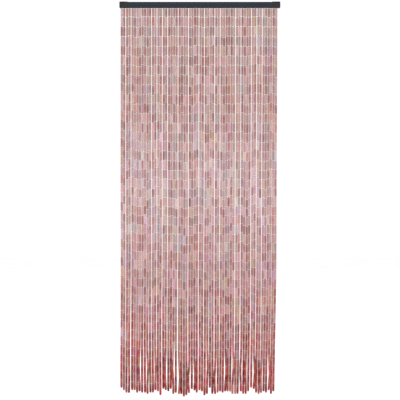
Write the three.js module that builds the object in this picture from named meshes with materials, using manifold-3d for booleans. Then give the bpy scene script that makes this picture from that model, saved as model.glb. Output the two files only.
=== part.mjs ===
// A bead curtain: strands of tube beads hang in pairs from gliders in a header rail with end caps.
// Millimetres, +Z up. The front faces -Y, and the origin is the centre of the rail's flat back.
import * as THREE from "three";
import { mergeVertices } from "three/addons/utils/BufferGeometryUtils.js";
import Module from "manifold-3d";

// Header rail: a channel that is open along its underside
const CURTAIN_WIDTH = 900;
const RAIL_HEIGHT = 33;
const RAIL_DEPTH = 20;
const RAIL_WALL = 1.8;
const RAIL_EDGE_RADIUS = 2.2;
const SLOT_WIDTH = 7;
const SHADOW_LINE = { drop: 21, height: 2.4, depth: 0.8 };

// End caps: sleeves over the top, front and front lip of the rail, closed at the outer end
const CAP_LENGTH = 45;
const CAP_WALL = 1;
const CAP_END = 3;
const CAP_LIP = 7.5;
const CAP_CORNER_RADIUS = 4.5;
const CLEARANCE = 0.3;

// Gliders: one block for each pair of strands, held by the lips of the channel
const GLIDER_LENGTH = 24;
const GLIDER_HEIGHT = 8;

// Strands: four-sided, with the width of their beads
const BEAD_RADIUS = 6.45;
const CORD_RADIUS = 1.2;
const CORD_ROOT = 4;
const FIRST_BEAD_DROP = 4;
const SHOULDER = 2;
const TIP_LENGTH = 14;
const TIP_RADIUS = 5;
const STRAND_SIDES = 4;

// The pairs from left to right, counted from 0: the gap between the two strands of a pair, the gap
// between two pairs, and a wide gap before some pairs
const FIRST_PAIR_X = -430.4;
const STRAND_GAP = 1;
const PAIR_GAP = 1.4;
const WIDE_PAIR_GAP = 3.4;
const WIDE_GAP_BEFORE_PAIR = [1, 2, 6, 7, 8, 9, 11, 13, 15, 16, 18, 19, 22, 23, 25, 26, 27];
const ROOT_STRAY = 0.1;

// The length below the rail of the shortest strand, and the clumps that the feet gather in, from left
// to right: a row for each clump, with the steps by which each of its strands hangs lower
const SHORTEST_DROP = 2127;
const TIP_STEP = 7;
const CLUMP_TIP_STEPS = [
  [0, 2, 4, 4],
  [2, 2, 4, 3, 4],
  [4, 5],
  [4, 4, 2, 3, 6],
  [1, 2, 3, 1, 5, 4],
  [5, 5, 7, 6],
  [4, 1, 2, 4],
  [2, 3, 6, 5],
  [0, 5],
  [5, 4, 3, 4, 3, 3, 3, 5],
  [5, 5],
  [3, 5, 5, 3],
  [0, 1, 4, 5, 4, 3, 4, 2, 5, 3],
];

// How the strands hang: nearly plumb, with a slow wander. The feet of a clump close up and lean one
// way, some of them forward and some back
const WANDER = 1.2;
const WANDER_LENGTH = 1150;
const WANDER_PHASE = 0.1;
const INWARD_DRIFT = 9;
const LEAN_START = 1150;
const FOOT_GAP = 1;
const CLUMP_GAP = 3.5;
const CLUMP_LEAN = 1.2;
const FOOT_STRAY = 3.4;
const FOOT_START = 1760;
const PLUMB_STEPS = 4;
const LEAN_STEPS = 5;
const FOOT_STEPS = 9;

// Strands, counted from 0, that swing forward and to one side above their foot and leave a slit open
const SWUNG_LEFT = [7, 17, 20, 26, 36, 46, 48, 54];
const SWUNG_RIGHT = [3, 10, 13, 22, 28, 33, 40, 43, 51, 57];
const SWING_START = 1930;
const SWING_START_SCATTER = 45;
const SWING_LENGTH = 215;
const SWING_FORWARD = 15;
const SWING_ASIDE = 4.1;
const SWING_ASIDE_SCATTER = 1.4;

const RAIL_LENGTH = CURTAIN_WIDTH - 2 * (CAP_END + CLEARANCE);
const RAIL_TOP = RAIL_HEIGHT / 2;
const RAIL_BOTTOM = -RAIL_HEIGHT / 2;
const CHANNEL_Y = -RAIL_DEPTH / 2;
const CHANNEL_HALF = RAIL_DEPTH / 2 - RAIL_WALL;
const STRAND_DROPS = CLUMP_TIP_STEPS.flat().map((steps) => SHORTEST_DROP + TIP_STEP * steps);
const PAIR_COUNT = STRAND_DROPS.length / 2;

const railPaint = new THREE.MeshStandardMaterial({ color: 0x2b323d, roughness: 0.45, metalness: 0.3 });
const capPlastic = new THREE.MeshStandardMaterial({ color: 0x2f2f34, roughness: 0.55, metalness: 0 });
const stainedBamboo = new THREE.MeshStandardMaterial({ color: 0xa47671, roughness: 0.5, metalness: 0 });

const wasm = await Module();
wasm.setup();

function toSolid(geometry) {
  const bare = geometry.clone();
  bare.deleteAttribute("normal");
  bare.deleteAttribute("uv");
  const merged = mergeVertices(bare, 1e-4);
  const corners = merged.index.array;
  const faces = [];
  for (let i = 0; i < corners.length; i += 3) {
    const face = [corners[i], corners[i + 1], corners[i + 2]];
    if (new Set(face).size === 3) {
      faces.push(...face);
    }
  }
  return new wasm.Manifold(
    new wasm.Mesh({
      numProp: 3,
      vertProperties: merged.attributes.position.array,
      triVerts: new Uint32Array(faces),
    }),
  );
}

function toGeometry(solid) {
  const mesh = solid.getMesh();
  const geometry = new THREE.BufferGeometry();
  geometry.setAttribute("position", new THREE.BufferAttribute(mesh.vertProperties, 3));
  geometry.setIndex(new THREE.BufferAttribute(mesh.triVerts, 1));
  geometry.computeVertexNormals();
  return geometry;
}

// A section drawn in the YZ plane, extruded along X from one place to another
function alongX(section, fromX, toX) {
  const geometry = new THREE.ExtrudeGeometry(section, {
    depth: toX - fromX,
    bevelEnabled: false,
    curveSegments: 4,
  });
  geometry.translate(0, 0, fromX);
  const sectionToWorld = new THREE.Matrix4().makeBasis(
    new THREE.Vector3(0, 1, 0),
    new THREE.Vector3(0, 0, 1),
    new THREE.Vector3(1, 0, 0),
  );
  return geometry.applyMatrix4(sectionToWorld);
}

// Header rail: top, back and front walls, two lips beside the slot, and a shadow line on the front
function railSection() {
  const front = -RAIL_DEPTH;
  const insideTop = RAIL_TOP - RAIL_WALL;
  const lipTop = RAIL_BOTTOM + RAIL_WALL;
  const lineTop = RAIL_TOP - SHADOW_LINE.drop;
  const lineBottom = lineTop - SHADOW_LINE.height;
  const r = RAIL_EDGE_RADIUS;
  const section = new THREE.Shape();
  section.moveTo(0, RAIL_BOTTOM);
  section.lineTo(0, RAIL_TOP);
  section.lineTo(front + r, RAIL_TOP);
  section.absarc(front + r, RAIL_TOP - r, r, Math.PI / 2, Math.PI, false);
  section.lineTo(front, lineTop);
  section.lineTo(front + SHADOW_LINE.depth, lineTop);
  section.lineTo(front + SHADOW_LINE.depth, lineBottom);
  section.lineTo(front, lineBottom);
  section.absarc(front + r, RAIL_BOTTOM + r, r, Math.PI, 1.5 * Math.PI, false);
  section.lineTo(CHANNEL_Y - SLOT_WIDTH / 2, RAIL_BOTTOM);
  section.lineTo(CHANNEL_Y - SLOT_WIDTH / 2, lipTop);
  section.lineTo(CHANNEL_Y - CHANNEL_HALF, lipTop);
  section.lineTo(CHANNEL_Y - CHANNEL_HALF, insideTop);
  section.lineTo(CHANNEL_Y + CHANNEL_HALF, insideTop);
  section.lineTo(CHANNEL_Y + CHANNEL_HALF, lipTop);
  section.lineTo(CHANNEL_Y + SLOT_WIDTH / 2, lipTop);
  section.lineTo(CHANNEL_Y + SLOT_WIDTH / 2, RAIL_BOTTOM);
  section.closePath();
  return section;
}

function makeRail() {
  const geometry = alongX(railSection(), -RAIL_LENGTH / 2, RAIL_LENGTH / 2);
  const rail = new THREE.Mesh(geometry, railPaint);
  rail.name = "header_rail";
  return rail;
}

// End cap: its sleeve, its closed end, and corners that are round from the front
const CAP_FRONT = -RAIL_DEPTH - CLEARANCE - CAP_WALL;
const CAP_TOP = RAIL_TOP + CLEARANCE + CAP_WALL;
const CAP_BOTTOM = RAIL_BOTTOM - CLEARANCE - CAP_WALL;

function capSleeveSection() {
  const section = new THREE.Shape();
  section.moveTo(0, CAP_TOP);
  section.lineTo(CAP_FRONT, CAP_TOP);
  section.lineTo(CAP_FRONT, CAP_BOTTOM);
  section.lineTo(CAP_FRONT + CAP_LIP, CAP_BOTTOM);
  section.lineTo(CAP_FRONT + CAP_LIP, CAP_BOTTOM + CAP_WALL);
  section.lineTo(CAP_FRONT + CAP_WALL, CAP_BOTTOM + CAP_WALL);
  section.lineTo(CAP_FRONT + CAP_WALL, CAP_TOP - CAP_WALL);
  section.lineTo(0, CAP_TOP - CAP_WALL);
  section.closePath();
  return section;
}

function capEndSection() {
  const section = new THREE.Shape();
  section.moveTo(0, CAP_TOP);
  section.lineTo(CAP_FRONT, CAP_TOP);
  section.lineTo(CAP_FRONT, CAP_BOTTOM);
  section.lineTo(0, CAP_BOTTOM);
  section.closePath();
  return section;
}

// The cap's outline from the front, as a block that runs past its front and back
function capOutlineBlock(outerX, innerX) {
  const r = CAP_CORNER_RADIUS;
  const outline = new THREE.Shape();
  outline.moveTo(innerX, CAP_BOTTOM);
  outline.lineTo(innerX, CAP_TOP);
  outline.lineTo(outerX + r, CAP_TOP);
  outline.absarc(outerX + r, CAP_TOP - r, r, Math.PI / 2, Math.PI, false);
  outline.absarc(outerX + r, CAP_BOTTOM + r, r, Math.PI, 1.5 * Math.PI, false);
  outline.closePath();
  const past = 2;
  const geometry = new THREE.ExtrudeGeometry(outline, {
    depth: -CAP_FRONT + 2 * past,
    bevelEnabled: false,
    curveSegments: 5,
  });
  geometry.rotateX(Math.PI / 2);
  geometry.translate(0, past, 0);
  return geometry;
}

function makeCap(name, side) {
  const outerX = -CURTAIN_WIDTH / 2;
  const innerX = outerX + CAP_LENGTH;
  const sleeve = toSolid(alongX(capSleeveSection(), outerX, innerX));
  const end = toSolid(alongX(capEndSection(), outerX, outerX + CAP_END));
  const outline = toSolid(capOutlineBlock(outerX, innerX));
  const cap = new THREE.Mesh(toGeometry(sleeve.add(end).intersect(outline)), capPlastic);
  cap.name = name;
  cap.scale.x = -side;
  return cap;
}

// A repeatable scatter from -1 to 1 for the number of a strand or clump, and for each use
function scatter(number, use) {
  const wave = Math.sin(number * 12.9898 + use * 78.233) * 43758.5453;
  return 2 * (wave - Math.floor(wave)) - 1;
}

// Which way a strand swings: -1 to the left, 1 to the right, 0 for a strand that doesn't
function swingOf(index) {
  if (SWUNG_LEFT.includes(index)) {
    return -1;
  }
  return SWUNG_RIGHT.includes(index) ? 1 : 0;
}

// The gliders from left to right, each with the root, length and foot of its two strands
function layOutPairs() {
  const strandPitch = 2 * BEAD_RADIUS + STRAND_GAP;
  const pairs = [];
  let gliderX = FIRST_PAIR_X;
  for (let pair = 0; pair < PAIR_COUNT; pair += 1) {
    if (pair > 0) {
      const gap = WIDE_GAP_BEFORE_PAIR.includes(pair) ? WIDE_PAIR_GAP : PAIR_GAP;
      gliderX += strandPitch + 2 * BEAD_RADIUS + gap;
    }
    const strands = [-1, 1].map((side) => {
      const index = 2 * pair + (side + 1) / 2;
      const rootX = gliderX + (side * strandPitch) / 2 + ROOT_STRAY * scatter(index, 0);
      return { index, rootX, drop: STRAND_DROPS[index], swing: swingOf(index) };
    });
    pairs.push({ number: pair + 1, gliderX, strands });
  }
  gatherFeet(pairs.flatMap(({ strands }) => strands));
  return pairs;
}

// The feet: each close to the next in its clump, and the clumps further apart
function gatherFeet(strands) {
  let index = 0;
  let footX = strands[0].rootX;
  CLUMP_TIP_STEPS.forEach((row, clump) => {
    const lean = CLUMP_LEAN * scatter(clump, 1);
    for (const strand of strands.slice(index, index + row.length)) {
      strand.footX = footX + lean;
      strand.footY = CHANNEL_Y + FOOT_STRAY * scatter(strand.index, 2);
      footX += 2 * BEAD_RADIUS + FOOT_GAP;
    }
    index += row.length;
    footX += CLUMP_GAP - FOOT_GAP;
  });
}

// How far a strand has swung to the side and forward at a depth below the rail
function swingAt(strand, depth) {
  const start = SWING_START + SWING_START_SCATTER * scatter(strand.index, 3);
  const share = THREE.MathUtils.clamp((depth - start) / SWING_LENGTH, 0, 1);
  const swung = Math.abs(strand.swing) * Math.sin(Math.PI * share);
  const widest = SWING_ASIDE + SWING_ASIDE_SCATTER * scatter(strand.index, 4);
  return { aside: strand.swing * widest * swung ** 2, forward: SWING_FORWARD * swung };
}

// Where a strand's centre line is at a depth below the rail
function centreAt(strand, depth) {
  const hung = Math.max(depth, 0) / strand.drop;
  const toTheRight = strand.index / (STRAND_DROPS.length - 1);
  const turn = (2 * Math.PI * depth) / WANDER_LENGTH + strand.index * WANDER_PHASE;
  const plumbX = strand.rootX - INWARD_DRIFT * hung * toTheRight;
  const lean = (Math.max(0, depth - LEAN_START) / (strand.drop - LEAN_START)) ** 2;
  const wander = WANDER * hung * Math.sin(turn);
  const swing = swingAt(strand, depth);
  return {
    x: THREE.MathUtils.lerp(plumbX, strand.footX, lean) + wander + swing.aside,
    y: THREE.MathUtils.lerp(CHANNEL_Y, strand.footY, lean) - swing.forward,
  };
}

// A strand's half width at each depth below the rail: cord, shoulder, beads and tip
function strandProfile(drop) {
  const root = -(RAIL_WALL + CLEARANCE + CORD_ROOT);
  const sections = [
    { depth: root, radius: 0 },
    { depth: root, radius: CORD_RADIUS },
    { depth: FIRST_BEAD_DROP, radius: CORD_RADIUS },
  ];
  const stretches = [
    { top: FIRST_BEAD_DROP + SHOULDER, foot: LEAN_START, steps: PLUMB_STEPS },
    { top: LEAN_START, foot: FOOT_START, steps: LEAN_STEPS },
    { top: FOOT_START, foot: drop - TIP_LENGTH, steps: FOOT_STEPS },
  ];
  for (const { top, foot, steps } of stretches) {
    for (let step = 0; step < steps; step += 1) {
      const depth = THREE.MathUtils.lerp(top, foot, step / steps);
      sections.push({ depth, radius: BEAD_RADIUS });
    }
  }
  sections.push({ depth: drop - TIP_LENGTH, radius: BEAD_RADIUS });
  sections.push({ depth: drop, radius: TIP_RADIUS });
  sections.push({ depth: drop, radius: 0 });
  return sections;
}

// A strand: its profile turned into a four-sided solid, then bent to its centre line
function makeStrand(strand) {
  const profile = strandProfile(strand.drop)
    .map(({ depth, radius }) => new THREE.Vector2(radius, -depth))
    .reverse();
  const geometry = new THREE.LatheGeometry(profile, STRAND_SIDES);
  geometry.rotateX(Math.PI / 2);
  const places = geometry.attributes.position;
  for (let i = 0; i < places.count; i += 1) {
    const depth = -places.getZ(i);
    const centre = centreAt(strand, depth);
    places.setXYZ(i, places.getX(i) + centre.x, places.getY(i) + centre.y, RAIL_BOTTOM - depth);
  }
  return toSolid(geometry);
}

// A pair: a glider in the channel, with two strands fused to it
function makePair(pair) {
  const gliderWidth = 2 * (CHANNEL_HALF - CLEARANCE);
  const gliderFoot = RAIL_BOTTOM + RAIL_WALL + CLEARANCE;
  const block = new THREE.BoxGeometry(GLIDER_LENGTH, gliderWidth, GLIDER_HEIGHT);
  block.translate(pair.gliderX, CHANNEL_Y, gliderFoot + GLIDER_HEIGHT / 2);
  const [left, right] = pair.strands.map(makeStrand);
  const mesh = new THREE.Mesh(toGeometry(toSolid(block).add(left).add(right)), stainedBamboo);
  mesh.name = `strand_pair_${String(pair.number).padStart(2, "0")}`;
  return mesh;
}

const curtain = new THREE.Group();
curtain.add(makeRail());
curtain.add(makeCap("end_cap_left", -1));
curtain.add(makeCap("end_cap_right", 1));
for (const pair of layOutPairs()) {
  curtain.add(makePair(pair));
}

export default curtain;
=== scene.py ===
import math

import bpy
import numpy as np
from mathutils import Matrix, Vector


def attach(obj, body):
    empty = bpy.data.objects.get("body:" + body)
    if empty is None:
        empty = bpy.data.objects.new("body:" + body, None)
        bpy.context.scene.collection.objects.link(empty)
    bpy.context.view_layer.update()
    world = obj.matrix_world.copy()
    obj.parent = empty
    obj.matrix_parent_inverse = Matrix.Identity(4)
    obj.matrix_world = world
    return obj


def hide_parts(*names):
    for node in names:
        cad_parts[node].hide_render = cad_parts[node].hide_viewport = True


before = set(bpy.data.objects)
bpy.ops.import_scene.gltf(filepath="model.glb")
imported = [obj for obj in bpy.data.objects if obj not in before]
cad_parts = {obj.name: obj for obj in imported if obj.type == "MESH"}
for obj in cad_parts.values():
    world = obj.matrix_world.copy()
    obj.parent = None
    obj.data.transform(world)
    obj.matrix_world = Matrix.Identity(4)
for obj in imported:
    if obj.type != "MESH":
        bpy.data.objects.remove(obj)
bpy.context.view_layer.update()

# Counts
BEADS_PER_STRAND = 42
BEAD_SIDES = 14
CORD_SIDES = 6
KNOT_CUTS = 2

# Sizes of the beads, knots, cord and gliders, in metres
BEAD_RADIUS = 0.00645
BEAD_BORE_RADIUS = 0.0026
BEAD_CHAMFER = 0.0006
BEAD_TILT = 0.00012
JOINT_GAP_TOP = 0.0034
JOINT_GAP_FOOT = 0.0016
KNOT_RADIUS = 0.003
CORD_RADIUS = 0.0011
CORD_IN_GLIDER = 0.002
CORD_END_LIFT = 0.001
GLIDER_CHAMFER = 0.0008

# Places and sizes on the CAD solids, in metres
RAIL_BOTTOM = -0.0165
STRAND_TOP_DROP = 0.004
FIRST_BEAD_Z = RAIL_BOTTOM - STRAND_TOP_DROP
GLIDER_FOOT_Z = -0.0144
TIP_LENGTH = 0.014
TIP_RADIUS = 0.005

# How close the CAD points are read: decimals of a metre, and slack in metres
POINT_DECIMALS = 6
HEIGHT_DECIMALS = 5
RING_SLACK = 2e-5
STRAND_TOP_SLACK = 0.0005
GLIDER_FOOT_SLACK = 1e-4

# A cell is a bead with the joint under it. As shares of the mean cell: how much longer the first cells
# are and how much shorter the last, and the scatter. The first cell is cut to its own share.
CELL_GRADE = 0.07
CELL_SCATTER = 0.038
FIRST_CELL_SHARE = 0.86
# The cord is drawn out most at the top, where it carries the most beads
JOINT_GAP_POWER = 4
# Half a knot's height as a share of its joint
KNOT_SHARE = 0.47

# Smallest size of single beads and knots, as shares of the full size
BEAD_SLIMMEST = 0.97
WAIST_SLIMMEST = 0.975
OVAL_FLATTEST = 0.97
KNOT_SMALLEST = 0.88
# Where the waist is on a bead, and where the ring in the taper is on the tip, as shares of their length
WAIST_PLACES = (0.35, 0.5)
TAPER_MIDDLE = 0.45
# Draws for cells and for the tilt of beads stop at so many standard deviations
CELL_SCATTER_LIMIT = 2.5
BEAD_TILT_LIMIT = 1.5

# Ground colour of the beads by height, as sRGB bytes: dusty rose that turns to red at the foot. The paler
# band around 0.40 to 0.47 of the drop is a painted highlight: a pool of light painted into the colour.
GROUND_AND_HIGHLIGHT = (
    # share of the drop, red, green, blue
    (0.00, 183, 141, 138),
    (0.27, 185, 136, 134),
    (0.40, 200, 161, 163),
    (0.47, 198, 158, 160),
    (0.58, 190, 139, 140),
    (0.72, 186, 133, 133),
    (0.82, 171, 101, 101),
    (0.92, 174, 76, 73),
    (1.00, 168, 53, 51),
)
# Stains of single beads, as factors on the ground colour in linear light
STAINS = (
    # name, share of the beads, red, green, blue
    ("plain", 0.33, 1.00, 1.00, 1.00),
    ("pale", 0.19, 1.14, 1.30, 1.32),
    ("deep", 0.21, 0.77, 0.62, 0.63),
    ("grey", 0.10, 0.84, 1.04, 1.02),
    ("mauve", 0.08, 0.86, 0.88, 1.04),
    ("tan", 0.07, 1.00, 1.06, 0.86),
    ("red", 0.02, 0.92, 0.66, 0.66),
)
# How much the shares of the stains differ from strand to strand
STRAND_BIAS = 0.35
# Scatter of tone and hue, as natural logarithms of linear light. No tone is above the lightest. Red
# changes least with the tone, so dark beads are redder than pale ones. Beads near the foot scatter more.
STRAND_TONE_SCATTER = 0.10
BEAD_TONE_SCATTER = 0.12
FOOT_TONE_SCATTER = 0.10
LIGHTEST_TONE = 0.14
TONE_WEIGHTS = (0.65, 1.15, 1.15)
HUE_SCATTER = 0.02
FOOT_HUE_SCATTER = (0.04, 0.26, 0.30)
FOOT_POWER = 4
# Scatter of the height at which a bead takes its ground colour, as shares of the drop
STRAND_FADE_SCATTER = 0.03
BEAD_FADE_SCATTER = 0.03
# The stain also drifts in soft patches: warmer or cooler, bluer or yellower, paler or darker, and with a
# ground colour from higher or lower. Widths are in metres, and patches are drawn out along the strands.
WARM_DRIFT = 0.026
BLUE_DRIFT = 0.06
TONE_DRIFT = 0.04
FADE_DRIFT = 0.03
WARM_WEIGHTS = (1.0, -1.0, -1.0)
BLUE_WEIGHTS = (0.0, 0.0, 1.0)
DRIFT_WAVES = 14
DRIFT_SQUEEZE = 0.4
HUE_DRIFT_WIDTHS = (0.05, 0.18)
TONE_DRIFT_WIDTHS = (0.03, 0.09)

# Colours of the other materials in linear light, each from its darkest to its lightest
CORD_COLOURS = ((0.62, 0.53, 0.47), (0.84, 0.77, 0.7))
RAIL_COLOURS = ((0.008, 0.013, 0.022), (0.016, 0.023, 0.036))
CAP_COLOURS = ((0.011, 0.011, 0.013), (0.02, 0.02, 0.023))
GLIDER_COLOURS = ((0.5, 0.5, 0.48), (0.6, 0.6, 0.58))
FLOOR_COLOURS = ((0.92, 0.92, 0.92), (0.95, 0.95, 0.95))
# Bare bamboo shows through the stain on cut ends, and a little on chamfers
CUT_BAMBOO = (0.6, 0.45, 0.38)
CUT_STRENGTH = 0.75
CHAMFER_CUT = 0.25
# Each bead has its own place in the grain: how far it is moved at most, and the direction
GRAIN_SHIFT = 9.0
GRAIN_DIRECTION = (1.0, 0.37, 0.71)
# The values between which noise and twisted yarn mostly stay
NOISE_RANGE = (0.3, 0.7)
TWIST_RANGE = (0.2, 0.8)
# Scale of a pattern that isn't drawn out along an axis
EVEN_SCALE = (1.0, 1.0, 1.0)

# Faces that meet at more than this angle have a sharp edge
SHARP_ANGLE = math.radians(38.0)
# Material numbers in the mesh of a pair
BEAD_SLOT = 0
CORD_SLOT = 1
GLIDER_SLOT = 2

# Floor, light and camera, in metres, watts and millimetres of lens and sensor
FLOOR_Z = -2.26
FLOOR_HALF = 14.0
WORLD_STRENGTH = 1.06
LIGHTS = (
    # name, place, point that it faces, width and height, power
    ("key", (-2.6, -4.2, 0.9), (0.0, 0.0, -1.0), (2.0, 3.0), 26.0),
    ("fill", (3.2, -3.8, -0.2), (0.0, 0.0, -1.1), (2.0, 3.0), 10.0),
    ("floor_wash", (0.0, 1.8, 2.2), (0.0, 1.0, -2.2), (5.0, 4.0), 70.0),
)
# The photograph shows the curtain square on: 5.6 mm to a pixel of its 400-pixel frame
FRAME_HEIGHT = 2.24
CAMERA_LENS = 85.0
CAMERA_SENSOR = 36.0
CAMERA_X = 0.0008
CAMERA_Z = -1.0917
CAMERA_REACH = 100.0
STRAND_PLANE_Y = -0.010

SEED = 41
rng = np.random.default_rng(SEED)


def linear(byte):
    """An sRGB byte as a linear value."""
    c = np.asarray(byte, float) / 255.0
    return np.where(c <= 0.04045, c / 12.92, ((c + 0.055) / 1.055) ** 2.4)


# Node materials


def new_material(name):
    """A new material with its node tree and its shader."""
    material = bpy.data.materials.new(name)
    material.use_nodes = True
    tree = material.node_tree
    shader = tree.nodes["Principled BSDF"]
    return material, tree, shader


def node(tree, kind, **settings):
    """A new node with the given settings."""
    made = tree.nodes.new(kind)
    for key, value in settings.items():
        setattr(made, key, value)
    return made


def math_node(tree, operation, a, b):
    """The result of an operation on two values, each a number or a socket."""
    made = node(tree, "ShaderNodeMath", operation=operation)
    for socket, value in zip(made.inputs, (a, b)):
        if isinstance(value, (int, float)):
            socket.default_value = value
        else:
            tree.links.new(value, socket)
    return made.outputs[0]


def weighted(tree, a, b, share):
    """Two values mixed, with the given share of the first."""
    first = math_node(tree, "MULTIPLY", a, share)
    second = math_node(tree, "MULTIPLY", b, 1.0 - share)
    return math_node(tree, "ADD", first, second)


def ramp(tree, factor, colours, limits=NOISE_RANGE):
    """A colour between the dark and the light one, by a factor between the limits."""
    made = node(tree, "ShaderNodeValToRGB")
    for element, place, colour in zip(made.color_ramp.elements, limits, colours):
        element.position = place
        element.color = (*colour, 1.0)
    tree.links.new(factor, made.inputs["Fac"])
    return made.outputs["Color"]


def object_coords(tree, scale=EVEN_SCALE, offset=None):
    """Places on the object, moved by the offset and then scaled."""
    coords = node(tree, "ShaderNodeTexCoord").outputs["Object"]
    if offset is not None:
        moved = node(tree, "ShaderNodeVectorMath", operation="ADD")
        tree.links.new(coords, moved.inputs[0])
        tree.links.new(offset, moved.inputs[1])
        coords = moved.outputs[0]
    mapping = node(tree, "ShaderNodeMapping")
    mapping.inputs["Scale"].default_value = scale
    tree.links.new(coords, mapping.inputs["Vector"])
    return mapping.outputs["Vector"]


def noise(tree, vector, scale, detail=3.0, roughness=0.55):
    """Noise at the given places, with the scale in waves to a metre."""
    made = node(tree, "ShaderNodeTexNoise")
    made.inputs["Scale"].default_value = scale
    made.inputs["Detail"].default_value = detail
    made.inputs["Roughness"].default_value = roughness
    tree.links.new(vector, made.inputs["Vector"])
    return made.outputs["Fac"]


def bump(tree, shader, height, strength, distance):
    """Fine relief from a height value, with the distance in metres."""
    made = node(tree, "ShaderNodeBump")
    made.inputs["Strength"].default_value = strength
    made.inputs["Distance"].default_value = distance
    tree.links.new(height, made.inputs["Height"])
    tree.links.new(made.outputs["Normal"], shader.inputs["Normal"])


def spread(tree, value, low, high):
    """Noise stretched to run from low to high."""
    made = node(tree, "ShaderNodeMapRange")
    made.inputs["From Min"].default_value = NOISE_RANGE[0]
    made.inputs["From Max"].default_value = NOISE_RANGE[1]
    made.inputs["To Min"].default_value = low
    made.inputs["To Max"].default_value = high
    tree.links.new(value, made.inputs["Value"])
    return made.outputs["Result"]


def mix_colour(tree, blend, factor, a, b):
    """Two colours blended by a factor, each a colour, a number or a socket."""
    made = node(tree, "ShaderNodeMix", data_type="RGBA", blend_type=blend)
    # A mix node has sockets for each kind of data, and these are the ones for colours
    sockets = (made.inputs[0], made.inputs[6], made.inputs[7])
    for socket, value in zip(sockets, (factor, a, b)):
        if isinstance(value, (int, float)):
            socket.default_value = value
        elif isinstance(value, tuple):
            socket.default_value = (*value, 1.0)
        else:
            tree.links.new(value, socket)
    return made.outputs[2]


def bamboo_material():
    """Stained bamboo: fibres along the bead, uneven stain, pale cut ends, a thin satin varnish."""
    material, tree, shader = new_material("stained_bamboo_beads")
    tint = node(tree, "ShaderNodeAttribute", attribute_name="tint").outputs["Color"]
    cut = node(tree, "ShaderNodeAttribute", attribute_name="cut").outputs["Fac"]
    seed = node(tree, "ShaderNodeAttribute", attribute_name="seed").outputs["Vector"]
    along = object_coords(tree, scale=(1.0, 1.0, 0.045), offset=seed)
    fibre = noise(tree, along, scale=1500.0, detail=4.0, roughness=0.6)
    patches = object_coords(tree, scale=(1.0, 1.0, 0.4), offset=seed)
    stain = noise(tree, patches, scale=160.0, detail=2.0)
    fibre_shade = spread(tree, fibre, low=0.78, high=1.12)
    stain_shade = spread(tree, stain, low=0.86, high=1.1)
    shade = math_node(tree, "MULTIPLY", fibre_shade, stain_shade)
    shades = node(tree, "ShaderNodeCombineColor")
    for channel in shades.inputs:
        tree.links.new(shade, channel)
    stained = mix_colour(tree, "MULTIPLY", 1.0, tint, shades.outputs[0])
    bare = math_node(tree, "MULTIPLY", cut, CUT_STRENGTH)
    colour = mix_colour(tree, "MIX", bare, stained, CUT_BAMBOO)
    tree.links.new(colour, shader.inputs["Base Color"])
    tree.links.new(spread(tree, stain, low=0.48, high=0.68), shader.inputs["Roughness"])
    shader.inputs["Specular IOR Level"].default_value = 0.16
    shader.inputs["Coat Weight"].default_value = 0.03
    shader.inputs["Coat Roughness"].default_value = 0.35
    bump(tree, shader, fibre, strength=0.35, distance=0.0004)
    return material


def cord_material():
    """Pale twisted cotton cord."""
    material, tree, shader = new_material("cotton_cord")
    wave = node(tree, "ShaderNodeTexWave", wave_type="BANDS", bands_direction="DIAGONAL")
    wave.inputs["Scale"].default_value = 420.0
    wave.inputs["Distortion"].default_value = 1.5
    tree.links.new(object_coords(tree), wave.inputs["Vector"])
    fuzz = noise(tree, object_coords(tree), scale=2600.0)
    twist = weighted(tree, wave.outputs["Fac"], fuzz, share=0.6)
    colour = ramp(tree, twist, CORD_COLOURS, limits=TWIST_RANGE)
    tree.links.new(colour, shader.inputs["Base Color"])
    shader.inputs["Roughness"].default_value = 0.85
    shader.inputs["Specular IOR Level"].default_value = 0.2
    bump(tree, shader, twist, strength=0.5, distance=0.0003)
    return material


def rail_material():
    """Anthracite powder coat on aluminium, with the faint lines of the extrusion along it."""
    material, tree, shader = new_material("anthracite_rail_coat")
    lines = noise(tree, object_coords(tree, scale=(0.012, 1.0, 1.0)), scale=700.0, detail=2.0)
    grain = noise(tree, object_coords(tree), scale=1800.0, detail=2.0)
    cloud = noise(tree, object_coords(tree), scale=14.0, detail=2.0)
    tone = weighted(tree, lines, cloud, share=0.5)
    tree.links.new(ramp(tree, tone, RAIL_COLOURS), shader.inputs["Base Color"])
    tree.links.new(spread(tree, grain, low=0.38, high=0.54), shader.inputs["Roughness"])
    shader.inputs["Specular IOR Level"].default_value = 0.3
    bump(tree, shader, math_node(tree, "ADD", grain, lines), strength=0.12, distance=0.0002)
    return material


def plastic_material(name, colours):
    """Moulded plastic with a fine spark-eroded grain."""
    material, tree, shader = new_material(name)
    grain = noise(tree, object_coords(tree), scale=1400.0, detail=2.0)
    cloud = noise(tree, object_coords(tree), scale=60.0, detail=2.0)
    tree.links.new(ramp(tree, cloud, colours), shader.inputs["Base Color"])
    tree.links.new(spread(tree, grain, low=0.5, high=0.66), shader.inputs["Roughness"])
    shader.inputs["Specular IOR Level"].default_value = 0.3
    bump(tree, shader, grain, strength=0.18, distance=0.0002)
    return material


def floor_material():
    """Pale matt studio floor."""
    material, tree, shader = new_material("pale_floor")
    cloud = noise(tree, object_coords(tree), scale=3.0)
    tree.links.new(ramp(tree, cloud, FLOOR_COLOURS), shader.inputs["Base Color"])
    shader.inputs["Roughness"].default_value = 0.9
    shader.inputs["Specular IOR Level"].default_value = 0.1
    return material


bamboo = bamboo_material()
cotton = cord_material()
glider_plastic = plastic_material("glider_plastic", GLIDER_COLOURS)
cap_plastic = plastic_material("cap_plastic", CAP_COLOURS)
rail_coat = rail_material()


def recoat(name, material):
    """Gives a CAD solid a material of this scene."""
    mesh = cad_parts[name].data
    mesh.materials.clear()
    mesh.materials.append(material)


recoat("header_rail", rail_coat)
recoat("end_cap_left", cap_plastic)
recoat("end_cap_right", cap_plastic)


# Centre lines of the strands, from the CAD solids


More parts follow.
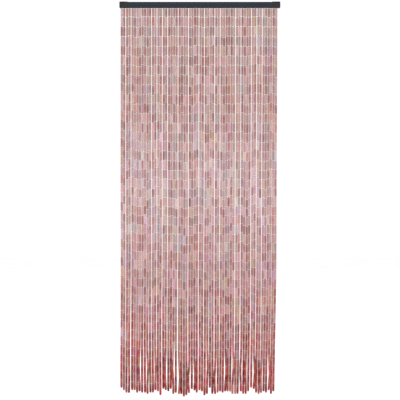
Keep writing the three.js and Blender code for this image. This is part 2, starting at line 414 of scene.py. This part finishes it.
def joined_groups(count, edges):
    """A label for each of the points, the same for all points that edges join."""
    group = np.arange(count)
    changed = True
    while changed:
        before = group.copy()
        low = np.minimum(group[edges[:, 0]], group[edges[:, 1]])
        np.minimum.at(group, edges[:, 0], low)
        np.minimum.at(group, edges[:, 1], low)
        changed = bool((group != before).any())
    return group


def strand_lines(name):
    """The two strands of a pair from left to right: for each, the heights of its rings of points from the
    foot up, and the rings' centres."""
    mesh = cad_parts[name].data
    points = np.zeros(len(mesh.vertices) * 3)
    mesh.vertices.foreach_get("co", points)
    points = np.round(points.reshape(-1, 3), POINT_DECIMALS)
    corners, same = np.unique(points, axis=0, return_inverse=True)
    edges = np.zeros(len(mesh.edges) * 2, int)
    mesh.edges.foreach_get("vertices", edges)
    edges = same.reshape(-1)[edges].reshape(-1, 2)
    below = corners[:, 2] < FIRST_BEAD_Z + STRAND_TOP_SLACK
    group = joined_groups(len(corners), edges[below[edges].all(axis=1)])
    lines = []
    for label in np.unique(group[below]):
        own = corners[(group == label) & below]
        heights = np.unique(np.round(own[:, 2], HEIGHT_DECIMALS))
        centres = [own[np.abs(own[:, 2] - z) < RING_SLACK][:, :2].mean(axis=0) for z in heights]
        lines.append((heights, np.array(centres)))
    lines.sort(key=lambda line: line[1][-1][0])
    return lines


def on_line(line, z):
    """Where a centre line is at the given height or heights."""
    heights, centres = line
    return np.stack([np.interp(z, heights, centres[:, 0]), np.interp(z, heights, centres[:, 1])], axis=-1)


# Meshes from arrays


class MeshParts:
    """Gathers points, faces, material numbers and point values, and joins them in one mesh."""

    def __init__(self):
        self.count = 0
        self.points, self.faces, self.slots = [], [], []
        self.tints, self.cuts, self.shifts = [], [], []

    def add(self, points, faces, slot, tint=(0.0, 0.0, 0.0), cut=0.0, shift=0.0):
        points = np.asarray(points, float).reshape(-1, 3)
        for face_set in faces:
            self.faces.append(np.asarray(face_set) + self.count)
            self.slots.append(np.full(len(face_set), slot))
        self.points.append(points)
        self.tints.append(np.broadcast_to(tint, (len(points), 3)))
        self.cuts.append(np.broadcast_to(cut, len(points)))
        self.shifts.append(np.broadcast_to(shift, len(points)))
        self.count += len(points)

    def build(self, name, materials):
        mesh = bpy.data.meshes.new(name)
        points = np.concatenate(self.points)
        sizes = np.concatenate([np.full(len(f), f.shape[1]) for f in self.faces])
        starts = np.concatenate([[0], np.cumsum(sizes)[:-1]])
        corners = np.concatenate([f.reshape(-1) for f in self.faces])
        mesh.vertices.add(len(points))
        mesh.vertices.foreach_set("co", points.reshape(-1))
        mesh.loops.add(len(corners))
        mesh.loops.foreach_set("vertex_index", corners.astype(np.int32))
        mesh.polygons.add(len(sizes))
        mesh.polygons.foreach_set("loop_start", starts.astype(np.int32))
        mesh.polygons.foreach_set("loop_total", sizes.astype(np.int32))
        mesh.polygons.foreach_set("material_index", np.concatenate(self.slots).astype(np.int32))
        mesh.polygons.foreach_set("use_smooth", np.ones(len(sizes), bool))
        colours = np.concatenate([np.concatenate(self.tints), np.ones((len(points), 1))], axis=1)
        mesh.attributes.new("tint", "FLOAT_COLOR", "POINT").data.foreach_set("color", colours.reshape(-1))
        mesh.attributes.new("cut", "FLOAT", "POINT").data.foreach_set("value", np.concatenate(self.cuts))
        offsets = np.outer(np.concatenate(self.shifts), GRAIN_DIRECTION)
        mesh.attributes.new("seed", "FLOAT_VECTOR", "POINT").data.foreach_set("vector", offsets.reshape(-1))
        for material in materials:
            mesh.materials.append(material)
        mesh.update(calc_edges=True)
        mesh.validate()
        mesh.set_sharp_from_angle(angle=SHARP_ANGLE)
        piece = bpy.data.objects.new(name, mesh)
        bpy.context.scene.collection.objects.link(piece)
        return piece


def grid_faces(rows, sides, closed_rows=False):
    """Quads between rings of points, with the last ring joined to the first if closed."""
    row = np.arange(rows if closed_rows else rows - 1)[:, None]
    side = np.arange(sides)[None, :]
    beside = (side + 1) % sides
    above = (row + 1) % rows
    quads = np.stack(np.broadcast_arrays(row * sides + side, row * sides + beside,
                                         above * sides + beside, above * sides + side), axis=-1)
    return quads.reshape(-1, 4)


def tube_points(centres, radii, angles, oval=1.0):
    """Rings of points round the given centres, flattened from front to back by the oval share."""
    points = np.zeros((len(centres), len(angles), 3))
    points[..., 0] = centres[:, None, 0] + radii[:, None] * np.cos(angles)
    points[..., 1] = centres[:, None, 1] + radii[:, None] * np.sin(angles) * oval
    points[..., 2] = centres[:, None, 2]
    return points


def cube_sphere(cuts):
    """A unit ball of quads from a cut cube."""
    steps = np.linspace(-1.0, 1.0, cuts + 1)
    points, index, quads = [], {}, []

    def corner(place):
        key = tuple(np.round(place, POINT_DECIMALS))
        if key not in index:
            index[key] = len(points)
            points.append(np.array(place) / np.linalg.norm(place))
        return index[key]

    for axis in range(3):
        for side in (-1.0, 1.0):
            for i in range(cuts):
                for j in range(cuts):
                    quad = []
                    for a, b in ((i, j), (i + 1, j), (i + 1, j + 1), (i, j + 1)):
                        place = [0.0, 0.0, 0.0]
                        place[axis] = side
                        place[(axis + 1) % 3] = steps[a]
                        place[(axis + 2) % 3] = steps[b]
                        quad.append(corner(place))
                    quads.append(quad if side > 0 else quad[::-1])
    return np.array(points), np.array(quads)


KNOT_POINTS, KNOT_QUADS = cube_sphere(KNOT_CUTS)


# Stain of each bead


def drift_field(widths):
    """A soft random pattern over the curtain: a function of places across and down it."""
    turns = rng.uniform(0.0, math.pi, DRIFT_WAVES)
    pitches = math.tau / rng.uniform(*widths, DRIFT_WAVES)
    starts = rng.uniform(0.0, math.tau, DRIFT_WAVES)

    def field(across, down):
        along = np.outer(across, np.cos(turns)) + np.outer(down, DRIFT_SQUEEZE * np.sin(turns))
        return np.sin(along * pitches + starts).sum(axis=1) * math.sqrt(2.0 / DRIFT_WAVES)

    return field


warm_field = drift_field(HUE_DRIFT_WIDTHS)
blue_field = drift_field(HUE_DRIFT_WIDTHS)
tone_field = drift_field(TONE_DRIFT_WIDTHS)
fade_field = drift_field(TONE_DRIFT_WIDTHS)


def stain_beads(across, down, drop):
    """A linear colour for each bead of a strand, from its place across and down the curtain."""
    table = np.array(GROUND_AND_HIGHLIGHT, float)
    beads = len(down)
    depths = down / drop
    near_foot = depths**FOOT_POWER
    faded = depths + STRAND_FADE_SCATTER * rng.normal() + BEAD_FADE_SCATTER * rng.normal(size=beads)
    faded += FADE_DRIFT * fade_field(across, down)
    # The ground colour carries the painted highlight: beads are paler in a band a little above the middle
    # of the drop.
    ground_and_highlight = linear(np.stack([np.interp(faded, table[:, 0], table[:, k]) for k in (1, 2, 3)], axis=1))
    shares = np.array([row[1] for row in STAINS]) * np.exp(STRAND_BIAS * rng.normal(size=len(STAINS)))
    picks = rng.choice(len(STAINS), size=beads, p=shares / shares.sum())
    stains = np.array([row[2:] for row in STAINS])[picks]
    scatter = (BEAD_TONE_SCATTER + FOOT_TONE_SCATTER * near_foot)[:, None]
    tone = STRAND_TONE_SCATTER * rng.normal() + scatter * rng.normal(size=(beads, 1))
    tone += TONE_DRIFT * tone_field(across, down)[:, None]
    hue = (HUE_SCATTER + np.outer(near_foot, FOOT_HUE_SCATTER)) * rng.normal(size=(beads, 3))
    hue += WARM_DRIFT * np.outer(warm_field(across, down), WARM_WEIGHTS)
    hue += BLUE_DRIFT * np.outer(blue_field(across, down), BLUE_WEIGHTS)
    return ground_and_highlight * stains * np.exp(np.minimum(tone, LIGHTEST_TONE) * TONE_WEIGHTS + hue)


# Beads, knots, cord and glider of a pair


def add_bead(parts, top, bottom, tint, last):
    """A tube bead between two points: an open bore, chamfered ends and a slightly oval section. The last
    bead of a strand narrows to the tip."""
    top_radius, foot_radius = BEAD_RADIUS * rng.uniform(BEAD_SLIMMEST, 1.0, 2)
    waist_radius = rng.uniform(WAIST_SLIMMEST, 1.0) * (top_radius + foot_radius) / 2.0
    oval = rng.uniform(OVAL_FLATTEST, 1.0)
    turn = rng.uniform(0.0, math.tau)
    length = top[2] - bottom[2]
    profile = [
        # distance from the top, radius, share of cut bamboo
        (0.0, BEAD_BORE_RADIUS, 1.0),
        (0.0, top_radius - BEAD_CHAMFER, 1.0),
        (BEAD_CHAMFER, top_radius, CHAMFER_CUT),
        (rng.uniform(*WAIST_PLACES) * length, waist_radius, 0.0),
    ]
    if last:
        taper_top = length + JOINT_GAP_FOOT - TIP_LENGTH
        middle_radius = TAPER_MIDDLE * TIP_RADIUS + (1.0 - TAPER_MIDDLE) * foot_radius
        profile.append((taper_top, foot_radius, 0.0))
        profile.append((taper_top + TAPER_MIDDLE * TIP_LENGTH, middle_radius, 0.0))
        foot_radius = TIP_RADIUS
    profile += [
        (length - BEAD_CHAMFER, foot_radius, CHAMFER_CUT),
        (length, foot_radius - BEAD_CHAMFER, 1.0),
        (length, BEAD_BORE_RADIUS, 1.0),
    ]
    distances, radii, cuts = np.array(profile).T
    centres = top[None, :] + (distances / length)[:, None] * (bottom - top)[None, :]
    angles = turn + np.arange(BEAD_SIDES) * math.tau / BEAD_SIDES
    points = tube_points(centres, radii, angles, oval)
    faces = grid_faces(len(profile), BEAD_SIDES, closed_rows=True)[:, ::-1]
    shift = rng.uniform(0.0, GRAIN_SHIFT)
    parts.add(points, [faces], BEAD_SLOT, tint, np.repeat(cuts, BEAD_SIDES), shift)


def add_knot(parts, line, bead_foot, gap):
    """A round knot in the joint under a bead."""
    half_height = KNOT_SHARE * gap
    z = bead_foot - half_height
    centre = np.array([*on_line(line, z), z])
    size = np.array([KNOT_RADIUS, KNOT_RADIUS, half_height]) * rng.uniform(KNOT_SMALLEST, 1.0, 3)
    parts.add(centre + KNOT_POINTS * size, [KNOT_QUADS], CORD_SLOT)


def add_cord(parts, centres):
    """A thin cord through the given points from the top down, closed at both ends."""
    angles = np.arange(CORD_SIDES) * math.tau / CORD_SIDES
    points = tube_points(centres, np.full(len(centres), CORD_RADIUS), angles)
    faces = grid_faces(len(centres), CORD_SIDES)[:, ::-1]
    first = np.arange(CORD_SIDES)[None, :]
    last = (len(centres) - 1) * CORD_SIDES + first[:, ::-1]
    parts.add(points, [faces, first, last], CORD_SLOT)


def add_glider(parts, low, high):
    """A moulded glider block with chamfered edges."""
    c = GLIDER_CHAMFER
    rings = []
    for z, inset in ((low[2], c), (low[2] + c, 0.0), (high[2] - c, 0.0), (high[2], c)):
        x0, x1 = low[0] + inset, high[0] - inset
        y0, y1 = low[1] + inset, high[1] - inset
        rings.append([(x0 + c, y0, z), (x1 - c, y0, z), (x1, y0 + c, z), (x1, y1 - c, z),
                      (x1 - c, y1, z), (x0 + c, y1, z), (x0, y1 - c, z), (x0, y0 + c, z)])
    sides = len(rings[0])
    foot = np.arange(sides)[None, ::-1]
    head = (len(rings) - 1) * sides + np.arange(sides)[None, :]
    parts.add(np.array(rings), [grid_faces(len(rings), sides), foot, head], GLIDER_SLOT)


def add_strand(parts, line):
    """Beads on a cord along a centre line, with a knot under each bead."""
    foot_z = line[0][0]
    drop = FIRST_BEAD_Z - foot_z
    cells = np.linspace(1.0 + CELL_GRADE, 1.0 - CELL_GRADE, BEADS_PER_STRAND)
    scatter = rng.normal(size=BEADS_PER_STRAND).clip(-CELL_SCATTER_LIMIT, CELL_SCATTER_LIMIT)
    cells += CELL_SCATTER * scatter
    cells[0] *= FIRST_CELL_SHARE
    cells *= drop / cells.sum()
    tops = FIRST_BEAD_Z - np.concatenate([[0.0], np.cumsum(cells)[:-1]])
    share_below = (tops - foot_z) / drop
    gaps = JOINT_GAP_FOOT + (JOINT_GAP_TOP - JOINT_GAP_FOOT) * share_below**JOINT_GAP_POWER
    bottoms = tops - cells + gaps
    tints = stain_beads(on_line(line, tops)[:, 0], FIRST_BEAD_Z - tops, drop)
    cord = [np.array([*on_line(line, FIRST_BEAD_Z), GLIDER_FOOT_Z + CORD_IN_GLIDER])]
    for top_z, bottom_z, gap, tint in zip(tops, bottoms, gaps, tints):
        tilt = BEAD_TILT * rng.normal(size=(2, 2)).clip(-BEAD_TILT_LIMIT, BEAD_TILT_LIMIT)
        places = on_line(line, np.array([top_z, bottom_z])) + tilt
        top = np.array([*places[0], top_z])
        bottom = np.array([*places[1], bottom_z])
        add_bead(parts, top, bottom, tint, last=bottom_z == bottoms[-1])
        add_knot(parts, line, bottom_z, gap)
        cord += [top, bottom]
    end_z = foot_z + CORD_END_LIFT
    cord.append(np.array([*on_line(line, end_z), end_z]))
    add_cord(parts, np.array(cord))


def make_pair(name):
    """One mesh for a pair of strands and its glider, in place of their CAD solid."""
    parts = MeshParts()
    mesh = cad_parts[name].data
    points = np.array([v.co for v in mesh.vertices])
    block = points[points[:, 2] > GLIDER_FOOT_Z - GLIDER_FOOT_SLACK]
    add_glider(parts, block.min(axis=0), block.max(axis=0))
    for line in strand_lines(name):
        add_strand(parts, line)
    piece = parts.build(name.replace("strand_pair", "bead_strands"), (bamboo, cotton, glider_plastic))
    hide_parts(name)
    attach(piece, "root")


for name in sorted(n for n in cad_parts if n.startswith("strand_pair_")):
    make_pair(name)


# Floor, light and camera

floor_corners = [(x * FLOOR_HALF, y * FLOOR_HALF, FLOOR_Z) for x, y in ((-1, -1), (1, -1), (1, 1), (-1, 1))]
floor_mesh = bpy.data.meshes.new("floor")
floor_mesh.from_pydata(floor_corners, [], [(0, 1, 2, 3)])
floor_mesh.materials.append(floor_material())
floor = bpy.data.objects.new("floor", floor_mesh)
bpy.context.scene.collection.objects.link(floor)

world = bpy.data.worlds.new("studio")
world.use_nodes = True
world.node_tree.nodes["Background"].inputs["Color"].default_value = (1.0, 1.0, 1.0, 1.0)
world.node_tree.nodes["Background"].inputs["Strength"].default_value = WORLD_STRENGTH
bpy.context.scene.world = world


def area_light(name, place, aim, size, power):
    """A rectangular light at a place, turned to the point that it faces."""
    data = bpy.data.lights.new(name, "AREA")
    data.shape = "RECTANGLE"
    data.size, data.size_y = size
    data.energy = power
    light = bpy.data.objects.new(name, data)
    light.location = place
    light.rotation_euler = (Vector(aim) - Vector(place)).to_track_quat("-Z", "Y").to_euler()
    bpy.context.scene.collection.objects.link(light)


for light_row in LIGHTS:
    area_light(*light_row)

camera_data = bpy.data.cameras.new("camera")
camera_data.lens = CAMERA_LENS
camera_data.sensor_width = CAMERA_SENSOR
camera_data.clip_end = CAMERA_REACH
camera = bpy.data.objects.new("camera", camera_data)
camera_distance = FRAME_HEIGHT * CAMERA_LENS / CAMERA_SENSOR
camera.location = (CAMERA_X, STRAND_PLANE_Y - camera_distance, CAMERA_Z)
camera.rotation_euler = (math.pi / 2, 0.0, 0.0)
bpy.context.scene.collection.objects.link(camera)
bpy.context.scene.camera = camera
bpy.context.scene.view_settings.view_transform = "Standard"

bpy.context.view_layer.update()
